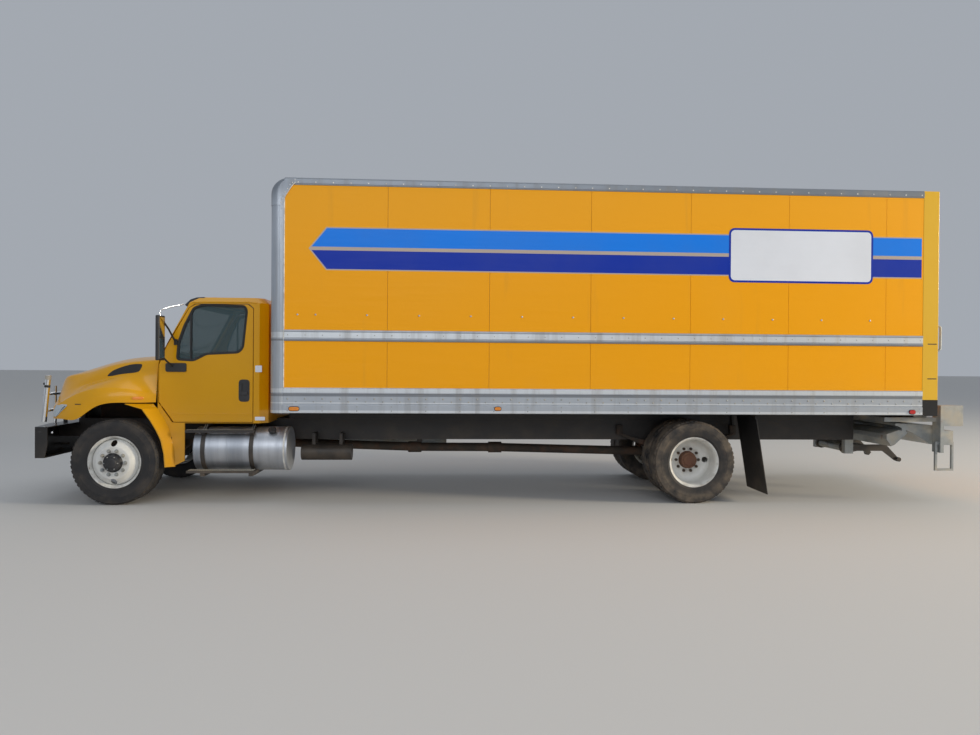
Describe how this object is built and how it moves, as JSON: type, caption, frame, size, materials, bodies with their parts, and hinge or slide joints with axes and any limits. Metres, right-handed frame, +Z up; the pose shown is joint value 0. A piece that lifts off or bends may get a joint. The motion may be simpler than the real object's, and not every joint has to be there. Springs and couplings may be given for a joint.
{
  "type": "box truck",
  "caption": "Conventional-cab box truck: tilting hood, hinged doors, dual rear wheels, van body with rub rails, stowed liftgate.",
  "frame": {"origin": "on the ground under the middle of the truck's length and width", "axes": "-X is the way the truck faces, -Y is its left (driver's) side, +Z is up"},
  "size_m": [11.434, 2.8, 3.867],
  "materials": {
    "yellow_paint": "gloss",
    "black_paint": "satin",
    "white_wheel": "gloss",
    "chrome_tube": "polished",
    "tank_aluminium": "brushed",
    "bare_steel": "dull",
    "cast_grey": "rough",
    "tread_rubber": "matt",
    "flap_rubber": "matt",
    "clear_glass": "polished",
    "lamp_lens": "polished",
    "dark_plastic": "grained",
    "seat_cloth": "woven",
    "deck_wood": "worn"
  },
  "bodies": {
    "chassis": {"frame": "black_paint", "frame_members": "black_paint", "floor_beams": "black_paint", "front_bumper": "black_paint", "front_axle": "cast_grey", "rear_axle": "cast_grey", "leaf_springs": "cast_grey", "engine": "cast_grey", "driveline": "cast_grey", "radiator": "black_paint", "fuel_tank": "tank_aluminium", "tank_mounts": "black_paint", "battery_box": "black_paint", "air_tank": "black_paint", "exhaust": "bare_steel", "mud_flaps": "flap_rubber", "cab_shell": "yellow_paint", "cab_glass": "clear_glass", "dashboard": "dark_plastic", "seats": "seat_cloth", "steering_wheel": "dark_plastic", "sun_visor": "dark_plastic", "quarter_fenders": "yellow_paint", "box_floor": "deck_wood", "box_left_wall": "yellow_paint", "box_right_wall": "yellow_paint", "box_front_wall": "yellow_paint", "box_roof": "bare_steel", "rear_frame": "yellow_paint", "rollup_door": "yellow_paint", "liftgate_frame": "bare_steel"},
    "left_door": {"left_door": "yellow_paint", "left_door_glass": "clear_glass", "left_mirror": "dark_plastic"},
    "right_door": {"right_door": "yellow_paint", "right_door_glass": "clear_glass", "right_mirror": "dark_plastic"},
    "hood": {"hood": "yellow_paint", "grille": "dark_plastic", "headlamps": "lamp_lens"},
    "guard": {"grille_guard": "chrome_tube"},
    "left_knuckle": {"left_knuckle": "cast_grey"},
    "right_knuckle": {"right_knuckle": "cast_grey"},
    "left_front_wheel": {"left_front_tyre": "tread_rubber", "left_front_rim": "white_wheel"},
    "right_front_wheel": {"right_front_tyre": "tread_rubber", "right_front_rim": "white_wheel"},
    "left_rear_wheels": {"left_rear_tyres": "tread_rubber", "left_rear_rims": "white_wheel"},
    "right_rear_wheels": {"right_rear_tyres": "tread_rubber", "right_rear_rims": "white_wheel"},
    "liftgate": {"liftgate_arms": "black_paint", "liftgate_platform": "bare_steel"}
  },
  "joints": [
    {"name": "hood_tilt", "type": "hinge", "parent": "chassis", "child": "hood", "pos_m": [-5.58, 0, 0.955], "axis": [0, -1, 0], "range_deg": [0, 75]},
    {"name": "guard_fold", "type": "hinge", "parent": "chassis", "child": "guard", "pos_m": [-5.695, 0, 0.9], "axis": [0, -1, 0], "range_deg": [0, 90]},
    {"name": "left_door_swing", "type": "hinge", "parent": "chassis", "child": "left_door", "pos_m": [-4.182, -0.992, 1.2], "axis": [0, 0, -1], "range_deg": [0, 70]},
    {"name": "right_door_swing", "type": "hinge", "parent": "chassis", "child": "right_door", "pos_m": [-4.182, 0.992, 1.2], "axis": [0, 0, 1], "range_deg": [0, 70]},
    {"name": "left_steer", "type": "hinge", "parent": "chassis", "child": "left_knuckle", "pos_m": [-4.65, -0.87, 0.505], "axis": [0, 0, 1], "range_deg": [-40, 40]},
    {"name": "right_steer", "type": "hinge", "parent": "chassis", "child": "right_knuckle", "pos_m": [-4.65, 0.87, 0.505], "axis": [0, 0, 1], "range_deg": [-40, 40]},
    {"name": "left_front_spin", "type": "hinge", "parent": "left_knuckle", "child": "left_front_wheel", "pos_m": [-4.65, -1.05, 0.505], "axis": [0, -1, 0], "continuous": true},
    {"name": "right_front_spin", "type": "hinge", "parent": "right_knuckle", "child": "right_front_wheel", "pos_m": [-4.65, 1.05, 0.505], "axis": [0, -1, 0], "continuous": true},
    {"name": "left_rear_spin", "type": "hinge", "parent": "chassis", "child": "left_rear_wheels", "pos_m": [2.287, -0.912, 0.505], "axis": [0, -1, 0], "continuous": true},
    {"name": "right_rear_spin", "type": "hinge", "parent": "chassis", "child": "right_rear_wheels", "pos_m": [2.287, 0.912, 0.505], "axis": [0, -1, 0], "continuous": true},
    {"name": "liftgate_lower", "type": "hinge", "parent": "chassis", "child": "liftgate", "pos_m": [4.68, 0, 0.59], "axis": [0, 1, 0], "range_deg": [0, 30]}
  ],
  "couplings": [
    {"joint": "guard_fold", "follows": "hood_tilt", "ratio": 1.2},
    {"joint": "right_steer", "follows": "left_steer", "ratio": 1}
  ]
}
